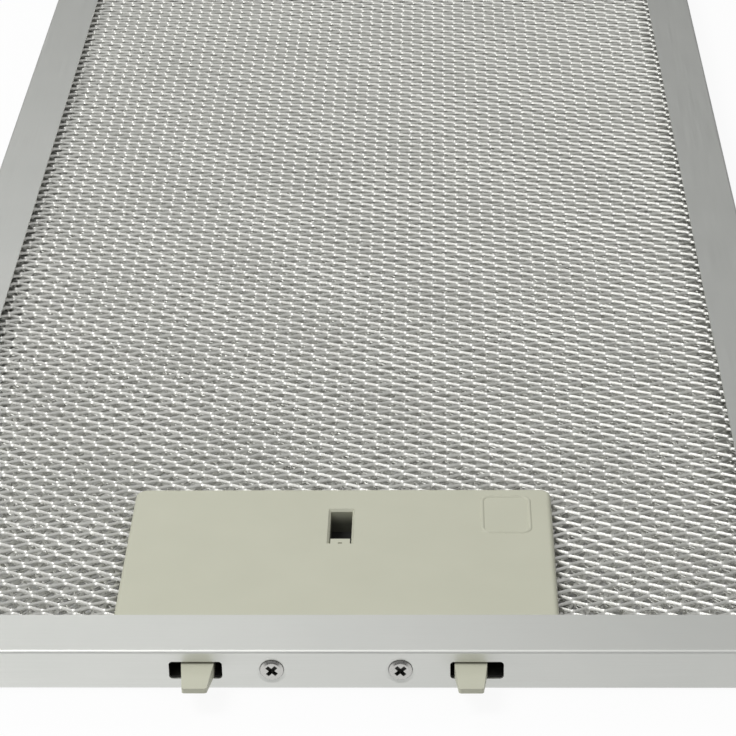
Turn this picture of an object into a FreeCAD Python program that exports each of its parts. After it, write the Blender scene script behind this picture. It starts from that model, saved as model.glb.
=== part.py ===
import FreeCAD, Part
import math
import os
import re
import Sketcher

# Cooker hood grease filter: an aluminium U-channel frame round a pack of expanded mesh,
# with a spring-loaded latch at its front edge.
# Millimetres. The filter lies flat, latch side up: X across, Y from the latch to the far edge, Z up.
# Every piece is drawn from the outer face of the front wall (Y = 0) and the bottom flange (Z = 0),
# and its Placement then moves the middle of the whole part's footprint to the origin.

SIZES = {
    # folded frame
    "frame_width": 197.0,
    "frame_length": 375.0,
    "sheet_thickness": 0.5,
    "flange_depth": 12.6,
    "bend_inner_radius": 0.15,
    "mitre_gap": 0.15,
    # expanded mesh
    "mesh_thickness": 1.1,
    "inner_mesh_thickness": 1.35,
    "mesh_edge_gap": 0.4,
    "mesh_short_way": 4.3,
    "ridge_width": 2.0,
    "ridge_height": 0.5,
    "inner_ridge_height": 0.85,
    "gap_long": 12.6,
    "gap_short": 6.0,
    "gap_column_pitch": 18.0,
    # clearances
    "seat_gap": 0.05,
    "slide_clearance": 0.15,
    "guide_play": 0.45,
    "lug_play": 0.25,
    "lug_front_play": 0.08,
    "head_room": 1.05,
    "cutout_clearance": 0.5,
    # latch cover
    "cover_width": 89.4,
    "cover_length": 60.9,
    "cover_thickness": 1.4,
    "cover_edge_radius": 1.1,
    "cover_corner_radius": 2.4,
    "cover_overhang": 3.0,
    "cover_wall": 1.2,
    "window_front": 39.55,
    "window_rim": 0.5,
    "finger_room": 2.65,
    # latch base
    "base_thickness": 1.15,
    "rib_thickness": 1.2,
    "rib_height": 2.6,
    "rib_length": 3.0,
    "spring_rib_width": 6.0,
    # latch slider
    "tongue_pitch": 53.7,
    "tongue_root_width": 6.4,
    "tongue_tip_width": 4.8,
    "tongue_tip_height": 1.1,
    "tongue_corner_radius": 0.6,
    "tongue_reach": 8.2,
    "tongue_inset": 0.3,
    "bar_depth": 6.0,
    "bar_corner_radius": 1.0,
    "lug_width": 4.1,
    "lug_length": 1.9,
    "lug_drop": 0.1,
    "notch_width": 0.9,
    "notch_depth": 0.5,
    "spigot_length": 3.0,
    # slots for the tongues; all the holes punched in the front wall sit a little off the latch's centre
    "slot_play": 0.5,
    "slot_side_play": 2.05,
    "slot_spread": 1.6,
    "punch_offset": 0.4,
    "slot_corner_radius": 0.75,
    # screws and their bosses
    "screw_pitch": 25.3,
    "screw_length": 9.0,
    "screw_point": 2.2,
    "screw_head_diameter": 4.6,
    "screw_head_rim": 0.2,
    "screw_head_rise": 0.3,
    "screw_head_bevel": 0.6,
    "screw_shank_diameter": 2.8,
    "screw_clearance": 0.1,
    "dimple_width": 0.6,
    "dimple_depth": 0.15,
    "recess_width": 0.8,
    "recess_span": 2.6,
    "recess_depth": 1.2,
    "boss_width": 6.0,
    "boss_margin": 0.6,
    # springs
    "spring_length": 14.0,
    "spring_wire": 0.25,
    "spring_turns": 3.0,
    "spring_clearance": 0.2,
    "spigot_play": 0.25,
}

FORMULAS = {
    # heights, from the bottom flange up
    "rear_mesh_z": "sheet_thickness + seat_gap",
    "base_z": "rear_mesh_z + mesh_thickness + seat_gap",
    "base_top": "base_z + base_thickness",
    "inner_mesh_step": "inner_mesh_thickness + seat_gap",
    "front_mesh_z": "base_z + 3 * inner_mesh_step",
    "cover_z": "front_mesh_z + mesh_thickness + seat_gap",
    "cover_top": "cover_z + cover_thickness",
    "frame_height": "cover_top + seat_gap + sheet_thickness",
    "slider_z": "base_top + slide_clearance",
    "slider_top": "cover_z - head_room",
    "slider_thickness": "slider_top - slider_z",
    "latch_axis_z": "(slider_z + slider_top) / 2",
    "lug_top": "cover_top - lug_drop",
    # distances behind the front wall's outer face
    "cover_front": "sheet_thickness + seat_gap",
    "cover_rear": "cover_front + cover_length",
    "wall_rear": "cover_rear - cover_overhang",
    "boss_rear": "screw_length + boss_margin",
    "bar_front": "boss_rear + guide_play",
    "bar_rear": "bar_front + bar_depth",
    "spring_seat": "bar_rear + spring_length",
    "travel": "tongue_reach + tongue_inset",
    "lug_front": "window_front + lug_front_play",
    "lug_rear": "lug_front + lug_length",
    "window_rear": "lug_rear + travel + finger_room",
    # the mesh is drawn coarser than it is: a ridge for every two or three strands, gaps in every sixth row
    "ridge_pitch": "2 * mesh_short_way",
    "inner_ridge_pitch": "3 * mesh_short_way",
    "gap_row_pitch": "6 * mesh_short_way",
    # sizes that follow from a fit
    "bend_radius": "bend_inner_radius + sheet_thickness",
    "wall_half_width": "cover_width / 2 - cover_overhang",
    "window_half_width": "lug_width / 2 + lug_play",
    "slot_pitch": "tongue_pitch + slot_spread",
    "slot_half_width": "tongue_root_width / 2 + slot_side_play",
    "slot_half_height": "slider_thickness / 2 + slot_play",
    "guide_half_width": "tongue_root_width / 2 + guide_play",
    "spring_radius": "latch_axis_z - base_top - spring_clearance - spring_wire / 2",
    "spigot_radius": "spring_radius - spring_wire / 2 - spigot_play",
    "front_y": "(tongue_reach - frame_length) / 2",
}

doc = FreeCAD.newDocument("grease_filter")
sheet = doc.addObject("Spreadsheet::Sheet", "sizes")


def fill_sheet():
    """Writes each size, then each formula, to a row of its own with an alias."""
    rows = list(SIZES.items()) + [(name, "=" + formula) for name, formula in FORMULAS.items()]
    for row, (name, content) in enumerate(rows, start=1):
        sheet.set(f"A{row}", name)
        sheet.set(f"B{row}", str(content))
        sheet.setAlias(f"B{row}", name)
        doc.recompute()


def in_sheet(formula):
    """The formula with every size written as a cell of the sheet."""
    return re.sub(r"[a-z_]+", lambda name: "sizes." + name.group(), formula)


def value(formula):
    """What a formula of sizes comes to, in millimetres."""
    return float(sheet.evalExpression(in_sheet(formula)))


def bind(item, place, formula):
    item.setExpression(place, in_sheet(formula))


def place(item, x="0", y="front_y", z="0"):
    """Binds where a finished piece stands."""
    bind(item, "Placement.Base.x", x)
    bind(item, "Placement.Base.y", y)
    bind(item, "Placement.Base.z", z)


def new_body(label):
    body = doc.addObject("PartDesign::Body", label)
    body.Label = label
    return body


def new_sketch(body, plane, name, lift="0", aside="0"):
    """A sketch on one of the body's origin planes, moved along its normal and along its own X."""
    sketch = body.newObject("Sketcher::SketchObject", f"{body.Label}_{name}")
    support = next(item for item in body.Origin.OriginFeatures if item.Role == plane)
    sketch.AttachmentSupport = [(support, "")]
    sketch.MapMode = "FlatFace"
    bind(sketch, "AttachmentOffset.Base.z", lift)
    bind(sketch, "AttachmentOffset.Base.x", aside)
    return sketch


def fix_point(sketch, geometry, formulas):
    """Ties a point to its two distances from the sketch's origin."""
    for kind, formula in zip(("DistanceX", "DistanceY"), formulas):
        index = sketch.addConstraint(Sketcher.Constraint(kind, -1, 1, geometry, 1, value(formula)))
        bind(sketch, f"Constraints[{index}]", formula)


def round_corner(sketch, here, before, after, radius):
    """Adds the arc of a rounded corner. Gives its geometry and which of its ends comes first."""
    half = before.getAngle(after) / 2
    centre = here + (before + after).normalize() * (radius / math.sin(half))
    ends = [here + side * (radius / math.tan(half)) for side in (before, after)]
    turns_left = after.cross(before).z > 0
    if not turns_left:
        ends.reverse()
    angles = [math.atan2(end.y - centre.y, end.x - centre.x) for end in ends]
    circle = Part.Circle(centre, FreeCAD.Vector(0, 0, 1), radius)
    arc = sketch.addGeometry(Part.ArcOfCircle(circle, *angles))
    return arc, 1 if turns_left else 2


def outline(sketch, corners):
    """Draws a closed outline through corners (x, y) or (x, y, radius), each bound to the sheet."""
    points = [FreeCAD.Vector(value(corner[0]), value(corner[1]), 0) for corner in corners]
    radii = [value(corner[2]) if len(corner) == 3 else 0 for corner in corners]
    count = len(corners)
    before = [(points[i - 1] - points[i]).normalize() for i in range(count)]
    after = [(points[(i + 1) % count] - points[i]).normalize() for i in range(count)]
    cuts = [radius / math.tan(a.getAngle(b) / 2) for radius, a, b in zip(radii, before, after)]
    sides = []
    for i in range(count):
        following = (i + 1) % count
        start = points[i] + after[i] * cuts[i]
        end = points[following] + before[following] * cuts[following]
        sides.append(sketch.addGeometry(Part.LineSegment(start, end)))
    for i, corner in enumerate(corners):
        side_in, side_out = sides[i - 1], sides[i]
        if not radii[i]:
            sketch.addConstraint(Sketcher.Constraint("Coincident", side_in, 2, side_out, 1))
            fix_point(sketch, side_out, corner[:2])
            continue
        arc, first_end = round_corner(sketch, points[i], before[i], after[i], radii[i])
        corner_point = sketch.addGeometry(Part.Point(points[i]), True)
        sketch.addConstraint(Sketcher.Constraint("Tangent", side_in, 2, arc, first_end))
        sketch.addConstraint(Sketcher.Constraint("Tangent", side_out, 1, arc, 3 - first_end))
        sketch.addConstraint(Sketcher.Constraint("PointOnObject", corner_point, 1, side_in))
        sketch.addConstraint(Sketcher.Constraint("PointOnObject", corner_point, 1, side_out))
        fix_point(sketch, corner_point, corner[:2])
        index = sketch.addConstraint(Sketcher.Constraint("Radius", arc, radii[i]))
        bind(sketch, f"Constraints[{index}]", corner[2])


def rectangle(sketch, left, right, low, high, *radius):
    """Draws a rectangle between four formulas, with rounded corners if a radius is given."""
    corners = [(left, low), (right, low), (right, high), (left, high)]
    outline(sketch, [corner + radius for corner in corners])


def extrude(body, kind, sketch, length, reverse=False):
    """Adds a Pad or a Pocket of the sketch to its body."""
    feature = body.newObject(f"PartDesign::{kind}", f"{sketch.Name}_{kind.lower()}")
    feature.Profile = sketch
    bind(feature, "Length", length)
    feature.Reversed = reverse
    doc.recompute()
    return feature


def turn(body, kind, sketch):
    """Adds a full Revolution or Groove of the sketch about its own vertical axis."""
    feature = body.newObject(f"PartDesign::{kind}", f"{sketch.Name}_{kind.lower()}")
    feature.Profile = sketch
    feature.ReferenceAxis = (sketch, ["V_Axis"])
    feature.Angle = 360
    doc.recompute()
    return feature


def dress(body, kind, base, size_name, size, chosen):
    """Adds a Fillet or Chamfer to the edges of the base whose middle passes the test."""
    names = []
    for number, edge in enumerate(base.Shape.Edges, start=1):
        if chosen(edge.CenterOfMass):
            names.append(f"Edge{number}")
    feature = body.newObject(f"PartDesign::{kind}", f"{body.Label}_{kind.lower()}")
    feature.Base = (base, names)
    bind(feature, size_name, size)
    doc.recompute()
    return feature


def near(a, b):
    return abs(a - b) < 1e-4


def screw_hole(body, x, name):
    """Cuts a countersunk hole along Y, a clearance larger than the screw, with its edge pressed in."""
    sketch = new_sketch(body, "XY_Plane", name, lift="latch_axis_z", aside=x)
    head = "(screw_head_diameter / 2 + screw_clearance)"
    shank = "(screw_shank_diameter / 2 + screw_clearance)"
    depth = "boss_rear + bar_depth"
    outline(sketch, [
        ("0", "0"),
        (f"{head} + dimple_width", "0"),
        (head, "dimple_depth"),
        (head, "screw_head_rim"),
        (shank, f"screw_head_rim + {head} - {shank}"),
        (shank, depth),
        ("0", depth),
    ])
    turn(body, "Groove", sketch)


def make_frame():
    """The strip folded to a U section, bent round four mitred corners."""
    body = new_body("frame")
    path = new_sketch(body, "XY_Plane", "path")
    half = "frame_width / 2"
    outline(path, [
        ("0", "0"),
        (half, "0"),
        (half, "frame_length"),
        (f"-{half}", "frame_length"),
        (f"-{half}", "0"),
    ])
    section = new_sketch(body, "YZ_Plane", "section")
    under_flange = "frame_height - sheet_thickness"
    outline(section, [
        ("0", "0", "bend_radius"),
        ("flange_depth", "0"),
        ("flange_depth", "sheet_thickness"),
        ("sheet_thickness", "sheet_thickness", "bend_inner_radius"),
        ("sheet_thickness", under_flange, "bend_inner_radius"),
        ("flange_depth", under_flange),
        ("flange_depth", "frame_height"),
        ("0", "frame_height", "bend_radius"),
    ])
    pipe = body.newObject("PartDesign::AdditivePipe", "frame_channel")
    pipe.Profile = section
    pipe.Spine = (path, [])
    pipe.Transition = "Right corner"
    doc.recompute()

    slots = new_sketch(body, "XZ_Plane", "slots", aside="punch_offset")
    for side in ("-", ""):
        middle = f"{side}slot_pitch / 2"
        rectangle(slots, f"{middle} - slot_half_width", f"{middle} + slot_half_width",
                  "latch_axis_z - slot_half_height", "latch_axis_z + slot_half_height",
                  "slot_corner_radius")
    extrude(body, "Pocket", slots, "flange_depth / 2")
    for side, name in (("-", "hole_left"), ("+", "hole_right")):
        screw_hole(body, f"punch_offset {side} screw_pitch / 2", name)

    mitres = new_sketch(body, "XY_Plane", "mitres")
    for across in (1, -1):
        for rear in (False, True):
            # the strip's two ends meet at the rear left corner, so that mitre runs right out
            outer = "-bend_radius" if rear and across < 0 else "bend_radius"
            ends = [(outer, "-"), (outer, "+"), ("2 * flange_depth", "+"), ("2 * flange_depth", "-")]
            outline(mitres, [
                (f"{across} * (frame_width / 2 - {inset} {sign} mitre_gap / 2)",
                 f"frame_length - ({inset})" if rear else inset)
                for inset, sign in ends
            ])
    extrude(body, "Pocket", mitres, "frame_height", reverse=True)
    place(body)
    return body


def make_mesh(label, bottom, thickness, rise, pitch, ridges_up=True, every=1, notched=True):
    """One sheet of expanded mesh: strand ridges along X, and staggered diamond gaps between them.

    Both ridges and gaps are laid out from the middle, so the gaps of all sheets are in line. A sheet can have
    only every so many of the gaps, each way. A notched sheet leaves the latch free.
    """
    low_x, low_y = (value(f"{side} + sheet_thickness + mesh_edge_gap")
                    for side in ("-frame_width / 2", "0"))
    high_y = value("frame_length") - low_y
    middle_y = value("frame_length / 2")
    depth = value(thickness)
    valley = depth - value(rise)
    step = value(pitch)
    ridge_half = value("ridge_width / 2")

    # the section across the strands: a flat face, and a face with ridges
    ridge_count = 2 * int((middle_y - low_y - ridge_half) / step + 0.5)
    section = [(low_y, 0), (high_y, 0), (high_y, valley)]
    for ridge in reversed(range(ridge_count)):
        crest = middle_y + (ridge - (ridge_count - 1) / 2) * step
        section += [(crest + ridge_half, valley), (crest, depth), (crest - ridge_half, valley)]
    section.append((low_y, valley))
    if not ridges_up:
        section = [(y, depth - z) for y, z in section]
    corners = [FreeCAD.Vector(low_x, y, z) for y, z in section]
    face = Part.Face(Part.makePolygon(corners + corners[:1]))
    shape = face.extrude(FreeCAD.Vector(-2 * low_x, 0, 0))

    cutters = []
    if notched:
        latch_half = value("wall_half_width + cutout_clearance")
        latch_rear = value("wall_rear + cutout_clearance")
        corner = FreeCAD.Vector(-latch_half, 0, -depth)
        cutters.append(Part.makeBox(2 * latch_half, latch_rear, 3 * depth, corner))
    long_half, short_half = value("gap_long / 2"), value("gap_short / 2")
    row_step, column_step = value("gap_row_pitch"), value("gap_column_pitch")
    row_reach = int((middle_y - value("flange_depth") - short_half) / row_step)
    column_reach = int((value("frame_width / 2 - flange_depth") - long_half) / column_step)
    for row in range(-row_reach, row_reach + 1):
        for column in range(-column_reach, column_reach + 1):
            if row % every or column % every:
                continue
            x = (column + (0.25 if row % 2 else -0.25)) * column_step
            y = middle_y + row * row_step
            beside = abs(x) > value("cover_width / 2") + long_half
            if notched and not beside and y < value("cover_rear") + short_half:
                continue
            diamond = [(x - long_half, y), (x, y - short_half), (x + long_half, y), (x, y + short_half)]
            rim = [FreeCAD.Vector(a, b, -depth) for a, b in diamond]
            cutters.append(Part.Face(Part.makePolygon(rim + rim[:1])).extrude(
                FreeCAD.Vector(0, 0, 3 * depth)))
    mesh = doc.addObject("Part::Feature", label)
    mesh.Label = label
    mesh.Shape = shape.cut(cutters)
    place(mesh, z=bottom)
    return mesh


def make_cover():
    """The moulded cover: a plate with rounded edges, a skirt, two screw bosses and the window's well."""
    body = new_body("latch_cover")
    plate = new_sketch(body, "XY_Plane", "plate", lift="cover_z")
    half = "cover_width / 2"
    outline(plate, [
        (f"-{half}", "cover_front"),
        (half, "cover_front"),
        (half, "cover_rear", "cover_corner_radius"),
        (f"-{half}", "cover_rear", "cover_corner_radius"),
    ])
    pad = extrude(body, "Pad", plate, "cover_thickness")
    top, front = value("cover_top"), value("cover_front")
    dress(body, "Fillet", pad, "Radius", "cover_edge_radius",
          lambda middle: near(middle.z, top) and not near(middle.y, front))

    skirt = new_sketch(body, "XY_Plane", "skirt", lift="base_top")
    inner = "(wall_half_width - cover_wall)"
    outline(skirt, [
        ("-wall_half_width", "cover_front"),
        (f"-{inner}", "cover_front"),
        (f"-{inner}", "wall_rear - cover_wall"),
        (inner, "wall_rear - cover_wall"),
        (inner, "cover_front"),
        ("wall_half_width", "cover_front"),
        ("wall_half_width", "wall_rear"),
        ("-wall_half_width", "wall_rear"),
    ])
    extrude(body, "Pad", skirt, "cover_z - base_top")

    bosses = new_sketch(body, "XY_Plane", "bosses", lift="base_top")
    for side in ("-", "+"):
        middle = f"punch_offset {side} screw_pitch / 2"
        rectangle(bosses, f"{middle} - boss_width / 2", f"{middle} + boss_width / 2",
                  "cover_front", "boss_rear")
    extrude(body, "Pad", bosses, "cover_z - base_top")
    for side, name in (("-", "hole_left"), ("+", "hole_right")):
        screw_hole(body, f"punch_offset {side} screw_pitch / 2", name)

    well = new_sketch(body, "XY_Plane", "well", lift="base_top")
    outer = "(window_half_width + cover_wall)"
    outline(well, [
        (f"-{outer}", "window_front"),
        ("-window_half_width", "window_front"),
        ("-window_half_width", "window_rear"),
        ("window_half_width", "window_rear"),
        ("window_half_width", "window_front"),
        (outer, "window_front"),
        (outer, "window_rear + cover_wall"),
        (f"-{outer}", "window_rear + cover_wall"),
    ])
    extrude(body, "Pad", well, "cover_z - base_top")
    window = new_sketch(body, "XY_Plane", "window", lift="cover_top")
    rectangle(window, "-window_half_width", "window_half_width", "window_front", "window_rear")
    cut = extrude(body, "Pocket", window, "cover_thickness")
    # its rim is bevelled at the sides and the rear, and the lug closes it at the front
    side, window_front, window_rear = (value(name) for name in
                                       ("window_half_width", "window_front", "window_rear"))
    dress(body, "Chamfer", cut, "Size", "window_rim",
          lambda middle: near(middle.z, top) and abs(middle.x) < side + 1e-4
          and window_front + 1e-4 < middle.y < window_rear + 1e-4)
    place(body)
    return body


def make_base():
    """The tray under the cover, with guide ribs for the slider's arms and seats for the springs."""
    body = new_body("latch_base")
    plate = new_sketch(body, "XY_Plane", "plate", lift="base_z")
    rectangle(plate, "-wall_half_width", "wall_half_width", "cover_front", "wall_rear")
    extrude(body, "Pad", plate, "base_thickness")

    guides = new_sketch(body, "XY_Plane", "guides", lift="base_top")
    seats = new_sketch(body, "XY_Plane", "seats", lift="base_top")
    for arm in ("-tongue_pitch / 2", "tongue_pitch / 2"):
        left, right = f"{arm} - guide_half_width", f"{arm} + guide_half_width"
        rectangle(guides, f"{left} - rib_thickness", left, "boss_rear - rib_length", "boss_rear")
        rectangle(guides, right, f"{right} + rib_thickness", "boss_rear - rib_length", "boss_rear")
        rectangle(seats, f"{arm} - spring_rib_width / 2", f"{arm} + spring_rib_width / 2",
                  "spring_seat", "spring_seat + rib_thickness")
    extrude(body, "Pad", guides, "rib_height")
    extrude(body, "Pad", seats, "cover_z - base_top - seat_gap")
    # the plate's front edge is relieved round the screws' countersunk heads
    for side, name in (("-", "relief_left"), ("+", "relief_right")):
        screw_hole(body, f"punch_offset {side} screw_pitch / 2", name)
    place(body)
    return body


def make_slider():
    """The slider: two tapered tongues on a crossbar, a stem back to the thumb lug, and spring spigots."""
    body = new_body("latch_slider")
    plan = new_sketch(body, "XY_Plane", "plan", lift="slider_z")
    root, tip = "tongue_root_width / 2", "tongue_tip_width / 2"
    left, right = "-tongue_pitch / 2", "tongue_pitch / 2"
    outline(plan, [
        (f"{left} - {tip}", "-tongue_reach", "tongue_corner_radius"),
        (f"{left} + {tip}", "-tongue_reach", "tongue_corner_radius"),
        (f"{left} + {root}", "0"),
        (f"{left} + {root}", "bar_front", "bar_corner_radius"),
        (f"{right} - {root}", "bar_front", "bar_corner_radius"),
        (f"{right} - {root}", "0"),
        (f"{right} - {tip}", "-tongue_reach", "tongue_corner_radius"),
        (f"{right} + {tip}", "-tongue_reach", "tongue_corner_radius"),
        (f"{right} + {root}", "0"),
        (f"{right} + {root}", "bar_rear", "bar_corner_radius"),
        ("lug_width / 2", "bar_rear", "bar_corner_radius"),
        ("lug_width / 2", "lug_rear"),
        ("-lug_width / 2", "lug_rear"),
        ("-lug_width / 2", "bar_rear", "bar_corner_radius"),
        (f"{left} - {root}", "bar_rear", "bar_corner_radius"),
        (f"{left} - {root}", "0"),
    ])
    extrude(body, "Pad", plan, "slider_thickness")

    # the underside of each tongue rises to a thin tip
    outside = f"tongue_pitch / 2 + {root} + tongue_inset"
    ramp = new_sketch(body, "YZ_Plane", "ramp", lift=f"-({outside})")
    past_tip, below = "-tongue_reach - tongue_inset", "slider_z - tongue_inset"
    outline(ramp, [
        (past_tip, below),
        ("-tongue_inset", below),
        ("-tongue_inset", "slider_z"),
        ("-tongue_reach", "slider_top - tongue_tip_height"),
        (past_tip, "slider_top - tongue_tip_height"),
    ])
    extrude(body, "Pocket", ramp, f"2 * ({outside})", reverse=True)

    lug = new_sketch(body, "XY_Plane", "lug", lift="slider_top")
    rectangle(lug, "-lug_width / 2", "lug_width / 2", "lug_front", "lug_rear")
    extrude(body, "Pad", lug, "lug_top - slider_top")
    notch = new_sketch(body, "XY_Plane", "notch", lift="lug_top")
    rectangle(notch, "-notch_width / 2", "notch_width / 2",
              "lug_front - lug_play", "lug_front + notch_depth")
    extrude(body, "Pocket", notch, "notch_depth")

    spigots = new_sketch(body, "XZ_Plane", "spigots", lift="-bar_rear")
    for side in (left, right):
        centre = FreeCAD.Vector(value(side), value("latch_axis_z"), 0)
        radius = value("spigot_radius")
        ring = spigots.addGeometry(Part.Circle(centre, FreeCAD.Vector(0, 0, 1), radius))
        for kind, formula in (("DistanceX", side), ("DistanceY", "latch_axis_z")):
            index = spigots.addConstraint(Sketcher.Constraint(kind, -1, 1, ring, 3, value(formula)))
            bind(spigots, f"Constraints[{index}]", formula)
        index = spigots.addConstraint(Sketcher.Constraint("Radius", ring, radius))
        bind(spigots, f"Constraints[{index}]", "spigot_radius")
    extrude(body, "Pad", spigots, "spigot_length", reverse=True)
    place(body)
    return body


def make_screw(label, x, driven_to):
    """A raised countersunk screw in the front wall, its cross recess turned by some degrees."""
    body = new_body(label)
    profile = new_sketch(body, "XY_Plane", "profile")
    head, shank = "screw_head_diameter / 2", "screw_shank_diameter / 2"
    outline(profile, [
        ("0", "-screw_head_rise"),
        (f"{head} - screw_head_bevel", "-screw_head_rise"),
        (head, "0"),
        (head, "screw_head_rim"),
        (shank, f"screw_head_rim + {head} - {shank}"),
        (shank, "screw_length - screw_point"),
        ("0", "screw_length"),
    ])
    turn(body, "Revolution", profile)
    recess = new_sketch(body, "XZ_Plane", "recess", lift="screw_head_rise")
    arm, half = "recess_span / 2", "recess_width / 2"
    outline(recess, [
        (f"-{arm}", f"-{half}"), (f"-{half}", f"-{half}"), (f"-{half}", f"-{arm}"),
        (half, f"-{arm}"), (half, f"-{half}"), (arm, f"-{half}"),
        (arm, half), (half, half), (half, arm),
        (f"-{half}", arm), (f"-{half}", half), (f"-{arm}", half),
    ])
    extrude(body, "Pocket", recess, "screw_head_rise + recess_depth")
    body.Placement.Rotation = FreeCAD.Rotation(FreeCAD.Vector(0, 1, 0), driven_to)
    place(body, x=x, z="latch_axis_z")
    return body


def make_spring(label, x):
    """A compression spring between the crossbar and its seat, its wire drawn four-sided."""
    coil_length = "(spring_length - spring_wire - 2 * slide_clearance)"
    coil = doc.addObject("Part::Helix", label + "_coil")
    bind(coil, "Pitch", f"{coil_length} / spring_turns")
    bind(coil, "Height", coil_length)
    bind(coil, "Radius", "spring_radius")
    wire = doc.addObject("Part::RegularPolygon", label + "_wire")
    wire.Polygon = 4
    bind(wire, "Circumradius", "spring_wire / 2")
    wire.Placement.Rotation = FreeCAD.Rotation(FreeCAD.Vector(1, 0, 0), 90)
    bind(wire, "Placement.Base.x", "spring_radius")
    spring = doc.addObject("Part::Sweep", label)
    spring.Label = label
    spring.Sections = [wire]
    spring.Spine = (coil, [])
    spring.Solid = True
    spring.Frenet = True
    spring.Placement.Rotation = FreeCAD.Rotation(FreeCAD.Vector(1, 0, 0), -90)
    place(spring, x=x, y="front_y + bar_rear + slide_clearance + spring_wire / 2", z="latch_axis_z")
    return spring


fill_sheet()
pieces = [
    make_frame(),
    make_mesh("front_mesh", "front_mesh_z", "mesh_thickness", "ridge_height", "ridge_pitch"),
    make_mesh("rear_mesh", "rear_mesh_z", "mesh_thickness", "ridge_height", "ridge_pitch",
              ridges_up=False, every=2, notched=False),
    make_cover(),
    make_base(),
    make_slider(),
]
for layer in range(3):
    pieces.append(make_mesh(f"inner_mesh_{layer + 1}", f"base_z + {layer} * inner_mesh_step",
                            "inner_mesh_thickness", "inner_ridge_height", "inner_ridge_pitch", every=2))
for side, name, driven_to in (("-", "left", 42), ("+", "right", 48)):
    pieces.append(make_screw(f"latch_screw_{name}", f"punch_offset {side} screw_pitch / 2", driven_to))
    pieces.append(make_spring(f"latch_spring_{name}", f"{side} tongue_pitch / 2"))
doc.recompute()

for item in doc.Objects:
    if {"Invalid", "Error"} & set(item.State):
        raise RuntimeError(f"{item.Label} failed: {item.State}")
for piece in pieces:
    if piece.Shape.isNull() or not piece.Shape.isValid() or len(piece.Shape.Solids) != 1:
        raise RuntimeError(f"{piece.Label} is not one valid solid")

os.makedirs("parts", exist_ok=True)
for piece in pieces:
    piece.Shape.exportStep(f"parts/{piece.Label}.step")
    box = piece.Shape.BoundBox
    print(f"{piece.Label}: {piece.Shape.Volume:.1f} mm3,"
          f" X {box.XMin:.2f} to {box.XMax:.2f}, Y {box.YMin:.2f} to {box.YMax:.2f},"
          f" Z {box.ZMin:.2f} to {box.ZMax:.2f}")
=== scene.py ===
"""Looks of a cooker hood grease filter: expanded aluminium layers in a folded frame, with a slide latch."""
import math

import bpy
import numpy as np
from mathutils import Matrix, Vector

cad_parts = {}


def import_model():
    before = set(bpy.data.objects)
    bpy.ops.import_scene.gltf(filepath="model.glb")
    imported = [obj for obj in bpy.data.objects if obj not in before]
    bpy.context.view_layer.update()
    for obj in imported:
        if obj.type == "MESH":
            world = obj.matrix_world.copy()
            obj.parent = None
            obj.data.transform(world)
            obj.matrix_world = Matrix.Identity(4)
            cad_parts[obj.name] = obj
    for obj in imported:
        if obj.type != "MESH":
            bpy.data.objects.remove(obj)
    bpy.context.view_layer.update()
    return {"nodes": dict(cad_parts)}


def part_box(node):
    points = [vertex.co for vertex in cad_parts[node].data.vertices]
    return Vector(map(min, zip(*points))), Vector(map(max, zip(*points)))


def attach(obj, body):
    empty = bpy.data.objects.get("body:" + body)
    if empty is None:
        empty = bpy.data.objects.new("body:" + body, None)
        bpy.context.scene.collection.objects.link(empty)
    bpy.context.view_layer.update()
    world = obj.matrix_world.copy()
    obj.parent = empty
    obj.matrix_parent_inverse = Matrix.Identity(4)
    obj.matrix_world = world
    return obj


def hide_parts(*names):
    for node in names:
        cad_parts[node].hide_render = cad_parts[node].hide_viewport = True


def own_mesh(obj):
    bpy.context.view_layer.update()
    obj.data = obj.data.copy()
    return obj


MM = 0.001
BODY = "filter"

# Camera, from the photograph's perspective: its place is measured from the middle of the front wall's foot.
IMAGE_PIXELS = 736
FOCAL_PIXELS = 2613.5
SENSOR_WIDTH = 36.0
CLIP_START = 0.01
CAMERA_FROM_FRONT = Vector((20.6, -419.0, 305.6)) * MM
CAMERA_YAW = math.radians(-1.76)
CAMERA_PITCH = math.radians(29.09)
CAMERA_ROLL = math.radians(-1.016)

# Expanded aluminium sheet, in millimetres: the diamond's two diagonals, then the strand between two diamonds,
# and how near to the sheet's edge a strand may still bend.
LONG_WAY = 6.3
SHORT_WAY = 4.3
STRAND_WIDTH = 0.68
STRAND_THICKNESS = 0.26
STRAND_TILT = math.radians(40)
BOND_LENGTH = 1.0
END_MARGIN = 0.05

# Unevenness of the sheets: how far the tilt drifts, how far the inner strands are crumpled, how quickly both
# change, how many millimetres the rows wander and the sheet rises, and the strength of the short wave in it.
TILT_DRIFT = 0.12
DRIFT_RATE = 2.0
INNER_CRUMPLE = math.radians(22)
CRUMPLE_RATE_X, CRUMPLE_RATE_Y = 23.0, 17.0
WAVE_SIDEWAYS, WAVE_UP = 0.30, 0.05
SHORT_WAVE = 0.6

# Shading: how far a strand's edges look rounded, and the angle from which a smooth piece keeps its edges.
EDGE_ROUND = 0.3
SHARP_ANGLE = math.radians(60)

# Studio room: its brightness at the horizon and overhead, how much of that each side of the room has, and how
# much brighter the wall on the right is. Each pair below says where the change starts and ends, as a part of
# the unit direction.
ROOM_HORIZON, ROOM_OVERHEAD = 0.10, 0.68
ROOM_LEFT, ROOM_RIGHT = 1.05, 0.7
ROOM_FRONT, ROOM_BACK = 1.0, 0.9
ROOM_RIGHT_WALL = 2.0
UPWARD = 0.16, 0.8
RIGHTWARD = -0.5, 0.5
BACKWARD = -0.6, 0.9
TO_RIGHT_WALL = 0.35, 0.75

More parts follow.
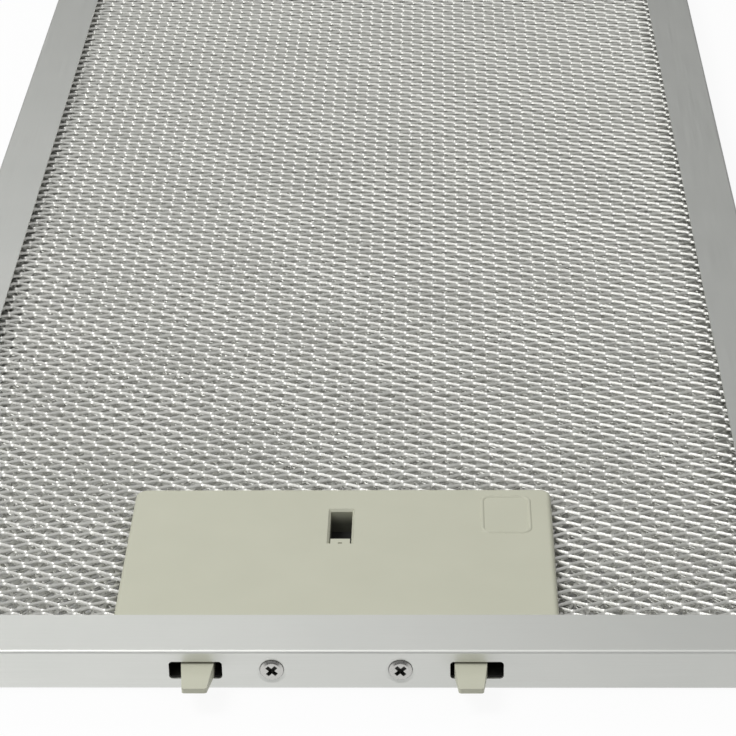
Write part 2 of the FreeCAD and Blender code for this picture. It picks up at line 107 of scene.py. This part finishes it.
# Floor: its grey under the lamps, how much of the camera's view of it is plain white, how bright it is in
# metal on the left and on the right of the part, and the soft edge of the shade under the part.
FLOOR_SIZE = 4.0
FLOOR_GREY = 0.85
FLOOR_SEEN = 0.92
FLOOR_GLOW_LEFT, FLOOR_GLOW_RIGHT = 1.0, 0.7
FLOOR_GLOW_REACH = 1.2
FLOOR_GAP = 0.02 * MM
SHADE_EDGE = 6 * MM

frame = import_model()
nodes = frame["nodes"]
frame_low, frame_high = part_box("frame")
_, cover_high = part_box("latch_cover")

FRAME_MIDDLE = (frame_low + frame_high) / 2
FRAME_HALF = (frame_high - frame_low) / 2
FRONT_WALL_Y = frame_low.y
# How bright the side rails are against the ends: a painted shade for the light the rails reflect less.
RAIL_PAINTED_SHADE = 0.89

# Well of the release window, a little larger than its inner faces, and how much painted shade darkens it at
# which depth.
WELL_HALF_WIDTH = 2.4 * MM
WELL_FRONT = FRONT_WALL_Y + 41.8 * MM
WELL_REAR = FRONT_WALL_Y + 52.9 * MM
WELL_DARK_DEPTH = 3.8 * MM
WELL_PAINTED_SHADE = 0.8

# Cross recess of the screws: where the painted shade starts and is full, and how much of the zinc's colour it
# leaves.
RECESS_TOP = FRONT_WALL_Y - 0.10 * MM
RECESS_FLOOR = FRONT_WALL_Y + 1.50 * MM
RECESS_SHADED_LEVEL = 0.05

# Cut-out of the sheets round the latch, in millimetres. The cover's edge overhangs it.
COVER_OVERHANG = 3.0
NOTCH_CLEARANCE = 0.5
NOTCH_HALF_WIDTH = cover_high.x / MM - COVER_OVERHANG + NOTCH_CLEARANCE
NOTCH_REAR = cover_high.y / MM - COVER_OVERHANG + NOTCH_CLEARANCE

# Moulded outline on the cover, in millimetres: X from the middle, Y from the front wall.
MARK_LOW = (29.9, 43.8)
MARK_HIGH = (39.9, 57.9)

# Edge radius in millimetres of the CAD nodes that get one, and the angle from which an edge is rounded.
EDGE_RADIUS = {
    "frame": 0.08,
    "latch_slider": 0.4,
}
ROUNDED_FROM = math.radians(35)
ROUNDING_STEPS = 3


# Node helpers

def new_tree(name):
    """An empty material and its node tree."""
    material = bpy.data.materials.new(name)
    material.use_nodes = True
    material.node_tree.nodes.clear()
    return material, material.node_tree


def join(tree, source, target):
    """Links one socket to another."""
    tree.links.new(source, target)


def object_place(tree):
    """The place on the object, in its own metres."""
    return tree.nodes.new("ShaderNodeTexCoord").outputs["Object"]


def split(tree, place):
    """The X, Y and Z of a place or a direction."""
    node = tree.nodes.new("ShaderNodeSeparateXYZ")
    join(tree, place, node.inputs[0])
    return tuple(node.outputs)


def math_node(tree, operation, first, second=0.0):
    """A Math node on two sockets or numbers."""
    node = tree.nodes.new("ShaderNodeMath")
    node.operation = operation
    for place, value in enumerate((first, second)):
        if isinstance(value, (int, float)):
            node.inputs[place].default_value = value
        else:
            join(tree, value, node.inputs[place])
    return node.outputs[0]


def past(tree, value, middle, half):
    """How far a value lies past a range given by its middle and half its width, negative inside."""
    from_middle = math_node(tree, "ABSOLUTE", math_node(tree, "SUBTRACT", value, middle))
    return math_node(tree, "SUBTRACT", from_middle, half)


def noise(tree, vector, scale, detail=2.0, stretch=(1, 1, 1)):
    """A noise value over the object's own metres, stretched by a scale on each axis."""
    mapping = tree.nodes.new("ShaderNodeMapping")
    mapping.inputs["Scale"].default_value = stretch
    join(tree, vector, mapping.inputs["Vector"])
    texture = tree.nodes.new("ShaderNodeTexNoise")
    texture.inputs["Scale"].default_value = scale
    texture.inputs["Detail"].default_value = detail
    join(tree, mapping.outputs[0], texture.inputs["Vector"])
    return texture.outputs["Fac"]


def ramp(tree, value, start, end, before, after, course="LINEAR"):
    """Goes from one level to another between two values."""
    node = tree.nodes.new("ShaderNodeMapRange")
    node.interpolation_type = course
    node.inputs["From Min"].default_value = start
    node.inputs["From Max"].default_value = end
    node.inputs["To Min"].default_value = before
    node.inputs["To Max"].default_value = after
    join(tree, value, node.inputs["Value"])
    return node.outputs[0]


def smooth_step(tree, value, start, end, before, after):
    """Goes smoothly from one level to another between two values."""
    return ramp(tree, value, start, end, before, after, "SMOOTHSTEP")


def spread(tree, value, low, high):
    """Maps a noise value from its usual reach to low and high."""
    usual_low, usual_high = 0.3, 0.7
    return ramp(tree, value, usual_low, usual_high, low, high)


def tint(tree, factor, dark, pale):
    """A colour between two, by a factor."""
    node = tree.nodes.new("ShaderNodeMix")
    node.data_type = "RGBA"
    colours = [socket for socket in node.inputs if socket.type == "RGBA"]
    colours[0].default_value = (*dark, 1)
    colours[1].default_value = (*pale, 1)
    join(tree, factor, node.inputs[0])
    return [socket for socket in node.outputs if socket.type == "RGBA"][0]


def dulled(tree, colour, factor):
    """A colour times a factor."""
    node = tree.nodes.new("ShaderNodeVectorMath")
    node.operation = "SCALE"
    join(tree, colour, node.inputs[0])
    join(tree, factor, node.inputs["Scale"])
    return node.outputs[0]


def bump(tree, height, strength, distance):
    """A bump normal of a height."""
    node = tree.nodes.new("ShaderNodeBump")
    node.inputs["Strength"].default_value = strength
    node.inputs["Distance"].default_value = distance
    join(tree, height, node.inputs["Height"])
    return node.outputs["Normal"]


def show(tree, shader, kind="ShaderNodeOutputMaterial"):
    """Makes a shader the output of a tree."""
    join(tree, shader, tree.nodes.new(kind).inputs["Surface"])


def surface(tree, **values):
    """The main shader, shown as the material's surface."""
    shader = tree.nodes.new("ShaderNodeBsdfPrincipled")
    for key, value in values.items():
        shader.inputs[key.replace("_", " ")].default_value = value
    show(tree, shader.outputs[0])
    return shader


def mix_shaders(tree, factor, first, second):
    """The first shader where the factor is 0, and the second where it is 1."""
    node = tree.nodes.new("ShaderNodeMixShader")
    for place, source in enumerate((factor, first, second)):
        join(tree, source, node.inputs[place])
    return node.outputs[0]


# Materials

def past_frame(tree, place):
    """How far a place lies past the frame's sides and past its ends, negative inside."""
    x, y, _ = split(tree, place)
    past_side = past(tree, x, FRAME_MIDDLE.x, FRAME_HALF.x)
    past_end = past(tree, y, FRAME_MIDDLE.y, FRAME_HALF.y)
    return past_side, past_end


def frame_aluminium():
    """Satin aluminium strip, with a fine grain along each side of the frame, and painted shade that makes the
    side rails slightly darker.
    """
    material, tree = new_tree("frame_aluminium")
    place = object_place(tree)
    on_side = math_node(tree, "GREATER_THAN", *past_frame(tree, place))
    along, across = 40, 5000
    grain = tree.nodes.new("ShaderNodeMix")
    join(tree, on_side, grain.inputs["Factor"])
    join(tree, noise(tree, place, scale=1, stretch=(along, across, across)), grain.inputs["A"])
    join(tree, noise(tree, place, scale=1, stretch=(across, along, across)), grain.inputs["B"])
    grain = grain.outputs[0]
    clouds = noise(tree, place, scale=55, detail=3)
    colour = tint(tree, clouds, dark=(0.772, 0.785, 0.752), pale=(0.822, 0.830, 0.797))
    # Painted shade: the side rails are darkened against the ends.
    rail_shade = smooth_step(tree, on_side, 0.0, 1.0, 1.0, RAIL_PAINTED_SHADE)
    shader = surface(tree, Metallic=1.0)
    join(tree, dulled(tree, colour, rail_shade), shader.inputs["Base Color"])
    join(tree, spread(tree, grain, low=0.48, high=0.58), shader.inputs["Roughness"])
    join(tree, bump(tree, grain, strength=0.08, distance=0.02 * MM), shader.inputs["Normal"])
    return material


def mesh_aluminium():
    """Expanded foil: each strand is a little more or less dull than the next."""
    material, tree = new_tree("mesh_aluminium")
    place = object_place(tree)
    by_strand = noise(tree, place, scale=420)
    scuffs = noise(tree, place, scale=2600, detail=3)
    colour = tint(tree, by_strand, dark=(0.67, 0.67, 0.635), pale=(0.79, 0.79, 0.75))
    shader = surface(tree, Metallic=0.58)
    join(tree, colour, shader.inputs["Base Color"])
    join(tree, spread(tree, by_strand, low=0.42, high=0.50), shader.inputs["Roughness"])
    join(tree, bump(tree, scuffs, strength=0.9, distance=0.06 * MM), shader.inputs["Normal"])
    return material


def well_painted_shade_factor(tree, place):
    """How much of the plastic's colour is left under a painted shade: less and less down the well of the
    release window, and all of it elsewhere.
    """
    x, y, z = split(tree, place)
    past_side = past(tree, x, 0.0, WELL_HALF_WIDTH)
    past_end = past(tree, y, (WELL_FRONT + WELL_REAR) / 2, (WELL_REAR - WELL_FRONT) / 2)
    in_well = math_node(tree, "LESS_THAN", math_node(tree, "MAXIMUM", past_side, past_end), 0.0)
    by_depth = smooth_step(tree, z, cover_high.z - WELL_DARK_DEPTH, cover_high.z, WELL_PAINTED_SHADE, 0.0)
    return math_node(tree, "SUBTRACT", 1.0, math_node(tree, "MULTIPLY", in_well, by_depth))


def latch_plastic():
    """Pale grey-green moulded plastic with a fine spark-eroded grain, and painted shade darkening it down the
    release window.
    """
    material, tree = new_tree("latch_plastic")
    place = object_place(tree)
    clouds = noise(tree, place, scale=90, detail=3)
    grain = noise(tree, place, scale=3200)
    colour = tint(tree, clouds, dark=(0.528, 0.532, 0.424), pale=(0.570, 0.572, 0.460))
    shader = surface(tree, Specular_IOR_Level=0.4)
    # Painted shade: the colour darkens down the well of the release window.
    join(tree, dulled(tree, colour, well_painted_shade_factor(tree, place)), shader.inputs["Base Color"])
    join(tree, spread(tree, grain, low=0.42, high=0.54), shader.inputs["Roughness"])
    join(tree, bump(tree, grain, strength=0.12, distance=0.03 * MM), shader.inputs["Normal"])
    return material


def tray_plastic():
    """Near-black matte plastic of the tray under the cover, a painted shade that keeps the inside of the
    slots and the window black.
    """
    material, tree = new_tree("tray_plastic")
    grain = noise(tree, object_place(tree), scale=2400)
    # Painted shade: the tray is near black so that the slots and the window look dark inside.
    colour = tint(tree, grain, dark=(0.020, 0.020, 0.018), pale=(0.030, 0.030, 0.028))
    shader = surface(tree, Specular_IOR_Level=0.3)
    join(tree, colour, shader.inputs["Base Color"])
    join(tree, spread(tree, grain, low=0.55, high=0.7), shader.inputs["Roughness"])
    return material


def fastener_steel():
    """Zinc-plated steel with a light tumbled finish, and painted shade in the cross recess of a screw."""
    material, tree = new_tree("fastener_steel")
    place = object_place(tree)
    tumble = noise(tree, place, scale=1800, detail=3)
    colour = tint(tree, tumble, dark=(0.56, 0.555, 0.53), pale=(0.70, 0.695, 0.67))
    _, y, _ = split(tree, place)
    # Painted shade: the colour darkens down into the cross recess.
    recess_shade = ramp(tree, y, RECESS_TOP, RECESS_FLOOR, 1.0, RECESS_SHADED_LEVEL)
    shader = surface(tree, Metallic=1.0)
    join(tree, dulled(tree, colour, recess_shade), shader.inputs["Base Color"])
    join(tree, spread(tree, tumble, low=0.22, high=0.36), shader.inputs["Roughness"])
    join(tree, bump(tree, tumble, strength=0.15, distance=0.03 * MM), shader.inputs["Normal"])
    return material


FINISH = {
    "frame_aluminium": frame_aluminium(),
    "mesh_aluminium": mesh_aluminium(),
    "latch_plastic": latch_plastic(),
    "tray_plastic": tray_plastic(),
    "fastener_steel": fastener_steel(),
}
NODE_FINISH = {
    "frame": "frame_aluminium",
    "latch_cover": "latch_plastic",
    "latch_base": "tray_plastic",
    "latch_slider": "latch_plastic",
    "latch_screw_left": "fastener_steel",
    "latch_screw_right": "fastener_steel",
}


# Pieces

def new_piece(name, points, faces, slot):
    """A mesh object in metres from points in millimetres, riding on the filter."""
    mesh = bpy.data.meshes.new(name)
    mesh.from_pydata(np.asarray(points) * MM, [], faces)
    mesh.update()
    mesh.materials.append(FINISH[slot])
    piece = bpy.data.objects.new(name, mesh)
    bpy.context.scene.collection.objects.link(piece)
    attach(piece, BODY)
    return piece


def shade_smooth(piece):
    """Smooth shading, apart from sharp edges."""
    mesh = piece.data
    mesh.polygons.foreach_set("use_smooth", [True] * len(mesh.polygons))
    mesh.set_sharp_from_angle(angle=SHARP_ANGLE)


def shade_by_legs(piece, guides, beside):
    """Shades each corner by the face that guides it, leaning towards the face beside it in the section.

    The strands then look rounded across, straight along their legs and bent only at their bonds.
    """
    mesh = piece.data
    mesh.polygons.foreach_set("use_smooth", [True] * len(mesh.polygons))
    flat = np.empty(len(mesh.polygons) * 3)
    mesh.polygons.foreach_get("normal", flat)
    flat = flat.reshape(-1, 3)
    leaning = flat[guides.ravel()] + EDGE_ROUND * flat[beside.ravel()]
    mesh.normals_split_custom_set(leaning / np.linalg.norm(leaning, axis=1)[:, None])


def ripple(x, y, phase):
    """An uneven wave over a sheet, between -1 and 1: two long waves and a weaker short one."""
    first = np.sin(x * 0.083 + y * 0.041 + phase)
    second = np.sin(x * 0.031 - y * 0.067 + 2.1 * phase)
    third = np.sin(x * 0.37 + y * 0.53 + 3.3 * phase)
    return (first + second + SHORT_WAVE * third) / (2 + SHORT_WAVE)


def strand_stations(span, shift, bond):
    """The X places at which a strand bends or ends, and its side there: -1 and 1 are its two bonds."""
    half = LONG_WAY / 2
    low, high = span
    bonds = np.arange(math.floor((low - shift) / half), math.ceil((high - shift) / half) + 1)
    bends = np.stack([bonds * half + shift - bond / 2, bonds * half + shift + bond / 2], 1).ravel()
    sides = np.repeat(np.where(bonds % 2 == 0, -1.0, 1.0), 2)
    if bond == 0:
        bends, sides = bends[::2], sides[::2]
    inside = (bends > low + END_MARGIN) & (bends < high - END_MARGIN)
    x = np.concatenate([[low], bends[inside], [high]])
    return x, np.interp(x, bends, sides)


def strand_points(rows, x, side, height, phase, tilt, crumple):
    """The four corners of a strand's section at each station of each row.

    A row zigzags between its bonds with the row behind and the row in front. At a bond, the far edge of one
    strand is the near edge of the next, and both lie at the same tilt.
    """
    pitch = SHORT_WAY / 2
    parity = np.where(rows % 2 == 0, 1.0, -1.0)
    grid_x = np.broadcast_to(x, (len(rows), len(x)))
    grid_side = parity[:, None] * side[None, :]
    row_y = np.broadcast_to((rows * pitch)[:, None], grid_x.shape)
    lean = tilt * (1 + TILT_DRIFT * ripple(grid_x * DRIFT_RATE, row_y * DRIFT_RATE, phase + 1))
    lean = lean + crumple * ripple(grid_x * CRUMPLE_RATE_X, row_y * CRUMPLE_RATE_Y, phase + 4)
    centre_y = row_y + grid_side * (pitch / 2 - STRAND_WIDTH / 2 * np.cos(lean))
    centre_z = height - grid_side * STRAND_WIDTH / 2 * np.sin(lean)
    corners = []
    for across, up in ((1, 1), (-1, 1), (-1, -1), (1, -1)):
        y = centre_y + across * STRAND_WIDTH / 2 * np.cos(lean) - up * STRAND_THICKNESS / 2 * np.sin(lean)
        z = centre_z + across * STRAND_WIDTH / 2 * np.sin(lean) + up * STRAND_THICKNESS / 2 * np.cos(lean)
        corners.append(np.stack([grid_x, y, z], -1))
    return np.stack(corners, 2).reshape(-1, 3)


def strand_faces(row_count, side):
    """The strands' quads, and for each of their corners the two quads that shade it.

    A bond's corners are guided by the legs beside it, and all other corners by their own quad. The second
    quad is the next one round the section.
    """
    count = len(side)
    quads_on_face = row_count * (count - 1)
    station = (np.arange(row_count)[:, None] * count + np.arange(count)[None, :]) * 4
    here, there = station[:, :-1].ravel(), station[:, 1:].ravel()
    part = np.arange(count - 1)
    is_bond = np.isclose(np.diff(side), 0.0, atol=0.01)
    before = np.where(is_bond, np.maximum(part - 1, 0), part)
    beyond = np.where(is_bond, np.minimum(part + 1, count - 2), part)
    faces, guides, beside = [], [], []
    for corner in range(4):
        after = (corner + 1) % 4
        faces.append(np.stack([here + corner, here + after, there + after, there + corner], 1))
        start = (corner * row_count + np.arange(row_count))[:, None] * (count - 1)
        near, far = (start + before).ravel(), (start + beyond).ravel()
        guide = np.stack([near, near, far, far], 1)
        to_last = ((corner - 1) % 4 - corner) * quads_on_face
        to_next = (after - corner) * quads_on_face
        guides.append(guide)
        beside.append(guide + np.array([to_last, to_next, to_next, to_last]))
    first, last = station[:, 0], station[:, -1]
    faces.append(np.stack([first + 3, first + 2, first + 1, first], 1))
    faces.append(np.stack([last, last + 1, last + 2, last + 3], 1))
    caps = 4 * quads_on_face + np.arange(2 * row_count)
    guides.append(np.repeat(caps[:, None], 4, 1))
    beside.append(guides[-1])
    return np.concatenate(faces), np.concatenate(guides), np.concatenate(beside)


def sheet_blocks(low, high, shift, turned, notched):
    """Which rows of strands a sheet has, and between which two places each set of them runs."""
    along, across = (1, 0) if turned else (0, 1)
    pitch = SHORT_WAY / 2
    first = math.ceil((low[across] - shift[1]) / pitch + 0.5)
    last = math.floor((high[across] - shift[1]) / pitch - 0.5)
    rows = np.arange(first, last + 1)
    whole = (low[along], high[along])
    if not notched:
        return [(rows, whole)]
    near_edge = rows * pitch + shift[1] - pitch / 2
    if turned:
        meets_latch = (near_edge < NOTCH_HALF_WIDTH) & (near_edge > -NOTCH_HALF_WIDTH - pitch)
        return [(rows[~meets_latch], whole), (rows[meets_latch], (NOTCH_REAR, high.y))]
    meets_latch = near_edge < NOTCH_REAR
    on_left = (low.x, -NOTCH_HALF_WIDTH)
    on_right = (NOTCH_HALF_WIDTH, high.x)
    return [(rows[~meets_latch], whole), (rows[meets_latch], on_left), (rows[meets_latch], on_right)]


def expanded_sheet(node, shift, phase, bond=0.0, tilt=-STRAND_TILT, turned=False, notched=True, crumple=0.0):
    """One layer of expanded sheet in place of its node, cut out round the latch where the node is.

    A turned sheet has its strands along Y.
    """
    low, high = (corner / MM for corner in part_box(node))
    height = (low.z + high.z) / 2
    blocks, point_count, face_count = [], 0, 0
    for rows, span in sheet_blocks(low, high, shift, turned, notched):
        x, side = strand_stations(span, shift[0], bond)
        points = strand_points(rows, x, side, height, phase, tilt, crumple)
        faces, guides, beside = strand_faces(len(rows), side)
        blocks.append((points, faces + point_count, guides + face_count, beside + face_count))
        point_count += len(points)
        face_count += len(faces)
    points, faces, guides, beside = (np.concatenate(parts) for parts in zip(*blocks))
    points[:, 1] += shift[1]
    sideways = WAVE_SIDEWAYS * ripple(points[:, 0], points[:, 1], phase)
    upwards = WAVE_UP * ripple(points[:, 0], points[:, 1], phase + 2)
    points[:, 1] += sideways
    points[:, 2] += upwards
    if turned:
        points = points[:, [1, 0, 2]]
        faces = faces[:, ::-1]
    piece = new_piece(node + "_strands", points, faces.tolist(), "mesh_aluminium")
    if bond > 0:
        shade_by_legs(piece, guides, beside)
    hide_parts(node)


def all_sheets():
    """The five layers: the outer two in full detail, the inner three plainer and turned by turns."""
    expanded_sheet("front_mesh", shift=(0.4, 0.3), phase=0.0, bond=BOND_LENGTH, tilt=STRAND_TILT)
    expanded_sheet("inner_mesh_3", shift=(2.1, 1.5), phase=1.3, turned=True, crumple=INNER_CRUMPLE)
    expanded_sheet("inner_mesh_2", shift=(4.0, 0.7), phase=2.9, crumple=INNER_CRUMPLE)
    expanded_sheet("inner_mesh_1", shift=(1.2, 1.9), phase=4.4, turned=True, crumple=INNER_CRUMPLE)
    expanded_sheet("rear_mesh", shift=(2.9, 1.1), phase=5.1, bond=BOND_LENGTH, notched=False)


def spring(node):
    """A round-wire compression spring in place of its node."""
    low, high = (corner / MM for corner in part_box(node))
    wire = 0.125
    turns = 3
    steps = 24 * turns
    sides = 8
    radius = (high.z - low.z) / 2 - wire
    middle = (low + high) / 2
    along = np.linspace(low.y + wire, high.y - wire, steps + 1)
    angle = np.linspace(0, turns * 2 * math.pi, steps + 1)
    around = np.arange(sides) * 2 * math.pi / sides
    reach = radius + wire * np.cos(around)[None, :]
    x = middle.x + reach * np.cos(angle)[:, None]
    z = middle.z + reach * np.sin(angle)[:, None]
    y = along[:, None] + wire * np.sin(around)[None, :]
    points = np.stack([x, y, z], -1).reshape(-1, 3)
    faces = []
    for step in range(steps):
        for side in range(sides):
            after = (side + 1) % sides
            here, there = step * sides, (step + 1) * sides
            faces.append((here + side, there + side, there + after, here + after))
    faces.append(tuple(range(sides)))
    faces.append(tuple(steps * sides + side for side in reversed(range(sides))))
    piece = new_piece(node + "_wire", points, faces, "fastener_steel")
    shade_smooth(piece)
    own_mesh(piece)
    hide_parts(node)


def moulded_rim(name, low, high, top, corner, width, rise):
    """A low rounded ridge in the outline of a rounded rectangle, moulded on a level face."""
    root = -0.05
    shoulder = 0.8 * rise
    foot, flank = width / 2, width / 4
    steps = 8
    section = [(-foot, root), (-flank, shoulder), (0, rise), (flank, shoulder), (foot, root)]
    centres = [(high[0] - corner, high[1] - corner), (low[0] + corner, high[1] - corner),
               (low[0] + corner, low[1] + corner), (high[0] - corner, low[1] + corner)]
    arc = np.linspace(0, math.pi / 2, steps + 1)
    points = []
    for quarter, (x, y) in enumerate(centres):
        for angle in arc + quarter * math.pi / 2:
            for out, up in section:
                reach = corner + out
                points.append((x + reach * math.cos(angle), y + reach * math.sin(angle), top + up))
    size = len(section)
    stations = len(points) // size
    faces = []
    for here in range(stations):
        there = (here + 1) % stations
        for part in range(size):
            after = (part + 1) % size
            faces.append((here * size + part, here * size + after, there * size + after, there * size + part))
    piece = new_piece(name, points, faces, "latch_plastic")
    shade_smooth(piece)


def dress_nodes():
    """Gives each CAD node that shows its finish, and some of them a small edge radius."""
    for name, slot in NODE_FINISH.items():
        node = nodes[name]
        node.data.materials.clear()
        node.data.materials.append(FINISH[slot])
    for name, radius in EDGE_RADIUS.items():
        rounding = nodes[name].modifiers.new("edge_radius", "BEVEL")
        rounding.width = radius * MM
        rounding.segments = ROUNDING_STEPS
        rounding.limit_method = "ANGLE"
        rounding.angle_limit = ROUNDED_FROM
        rounding.harden_normals = True


# Stage

def floor_white():
    """White for the camera and in metal, grey under the lamps, dark under the part, and clear from below."""
    material, tree = new_tree("floor_white")
    path = tree.nodes.new("ShaderNodeLightPath").outputs
    place = object_place(tree)
    x, _, _ = split(tree, place)
    mirrored = math_node(tree, "MAXIMUM", path["Is Glossy Ray"], path["Is Transmission Ray"])
    reach = FLOOR_GLOW_REACH * FRAME_HALF.x
    in_metal = smooth_step(tree, x, -reach, reach, FLOOR_GLOW_LEFT, FLOOR_GLOW_RIGHT)
    in_metal = math_node(tree, "MULTIPLY", mirrored, in_metal)
    strength = math_node(tree, "MAXIMUM", path["Is Camera Ray"], in_metal)
    seen = math_node(tree, "MULTIPLY", path["Is Camera Ray"], FLOOR_SEEN)
    seen = math_node(tree, "MAXIMUM", seen, mirrored)
    past_edge = math_node(tree, "MAXIMUM", *past_frame(tree, place))
    seen = math_node(tree, "MULTIPLY", seen, smooth_step(tree, past_edge, -SHADE_EDGE, 0.0, 0.0, 1.0))
    diffuse = tree.nodes.new("ShaderNodeBsdfDiffuse")
    diffuse.inputs["Color"].default_value = (FLOOR_GREY, FLOOR_GREY, FLOOR_GREY, 1)
    glow = tree.nodes.new("ShaderNodeEmission")
    glow.inputs["Color"].default_value = (1, 1, 1, 1)
    join(tree, strength, glow.inputs["Strength"])
    from_above = mix_shaders(tree, seen, diffuse.outputs[0], glow.outputs[0])
    backfacing = tree.nodes.new("ShaderNodeNewGeometry").outputs["Backfacing"]
    clear = tree.nodes.new("ShaderNodeBsdfTransparent").outputs[0]
    show(tree, mix_shaders(tree, backfacing, from_above, clear))
    return material


def floor():
    """A plain white floor that keeps the object's shadow, just under the part."""
    size = FLOOR_SIZE
    corners = [(-size, -size, 0), (size, -size, 0), (size, size, 0), (-size, size, 0)]
    mesh = bpy.data.meshes.new("floor")
    mesh.from_pydata(corners, [], [(0, 1, 2, 3)])
    mesh.materials.append(floor_white())
    piece = bpy.data.objects.new("floor", mesh)
    piece.location.z = -FLOOR_GAP
    bpy.context.scene.collection.objects.link(piece)


def backdrop(tree, strength):
    """An evenly white background of a strength."""
    node = tree.nodes.new("ShaderNodeBackground")
    node.inputs["Color"].default_value = (1, 1, 1, 1)
    if isinstance(strength, float):
        node.inputs["Strength"].default_value = strength
    else:
        join(tree, strength, node.inputs["Strength"])
    return node.outputs[0]


def world():
    """A white backdrop for the camera, and for light a dim room, brighter overhead and towards its sides."""
    room = bpy.data.worlds.new("studio")
    bpy.context.scene.world = room
    room.use_nodes = True
    tree = room.node_tree
    tree.nodes.clear()
    x, y, z = split(tree, tree.nodes.new("ShaderNodeTexCoord").outputs["Generated"])
    glow = smooth_step(tree, z, *UPWARD, ROOM_HORIZON, ROOM_OVERHEAD)
    for level in (
        smooth_step(tree, x, *RIGHTWARD, ROOM_LEFT, ROOM_RIGHT),
        smooth_step(tree, y, *BACKWARD, ROOM_FRONT, ROOM_BACK),
        smooth_step(tree, x, *TO_RIGHT_WALL, 1.0, ROOM_RIGHT_WALL),
    ):
        glow = math_node(tree, "MULTIPLY", glow, level)
    by_camera = tree.nodes.new("ShaderNodeLightPath").outputs["Is Camera Ray"]
    blend = mix_shaders(tree, by_camera, backdrop(tree, glow), backdrop(tree, 1.0))
    show(tree, blend, "ShaderNodeOutputWorld")


def softbox(name, place, target, size, radiance):
    """A rectangular lamp that faces a target, as bright as a surface of that radiance."""
    lamp = bpy.data.lights.new(name, "AREA")
    lamp.shape = "RECTANGLE"
    lamp.size, lamp.size_y = size
    lamp.energy = radiance * math.pi * size[0] * size[1]
    piece = bpy.data.objects.new(name, lamp)
    piece.location = place
    piece.rotation_euler = (Vector(target) - Vector(place)).to_track_quat("-Z", "Y").to_euler()
    bpy.context.scene.collection.objects.link(piece)


def camera():
    """The photograph's camera."""
    ahead = Vector((math.sin(CAMERA_YAW) * math.cos(CAMERA_PITCH),
                    math.cos(CAMERA_YAW) * math.cos(CAMERA_PITCH), -math.sin(CAMERA_PITCH)))
    level = ahead.cross(Vector((0, 0, 1))).normalized()
    upright = level.cross(ahead)
    right = math.cos(CAMERA_ROLL) * level + math.sin(CAMERA_ROLL) * upright
    up = math.cos(CAMERA_ROLL) * upright - math.sin(CAMERA_ROLL) * level
    lens = bpy.data.cameras.new("camera")
    lens.sensor_width = SENSOR_WIDTH
    lens.lens = FOCAL_PIXELS * SENSOR_WIDTH / IMAGE_PIXELS
    lens.clip_start = CLIP_START
    piece = bpy.data.objects.new("camera", lens)
    bpy.context.scene.collection.objects.link(piece)
    axes = Matrix((right, up, -ahead)).transposed().to_4x4()
    piece.matrix_world = Matrix.Translation(Vector((0, FRONT_WALL_Y, 0)) + CAMERA_FROM_FRONT) @ axes
    bpy.context.scene.camera = piece


dress_nodes()
all_sheets()
spring("latch_spring_left")
spring("latch_spring_right")
moulded_rim(
    "cover_mark_rim",
    low=(MARK_LOW[0], FRONT_WALL_Y / MM + MARK_LOW[1]),
    high=(MARK_HIGH[0], FRONT_WALL_Y / MM + MARK_HIGH[1]),
    top=cover_high.z / MM,
    corner=1.8,
    width=0.9,
    rise=0.24,
)
floor()
world()
softbox("key", place=(-0.84, -0.36, 0.70), target=(0, -0.10, 0), size=(0.22, 0.22), radiance=2.6)
softbox("fill", place=(-0.50, -0.20, 0.85), target=(0, -0.10, 0), size=(0.40, 0.40), radiance=9.4)
softbox("back_strip", place=(-0.13, 0.30, 0.36), target=(-0.03, -0.17, 0), size=(0.35, 0.12), radiance=1.3)
camera()
bpy.context.scene.view_settings.view_transform = "Standard"
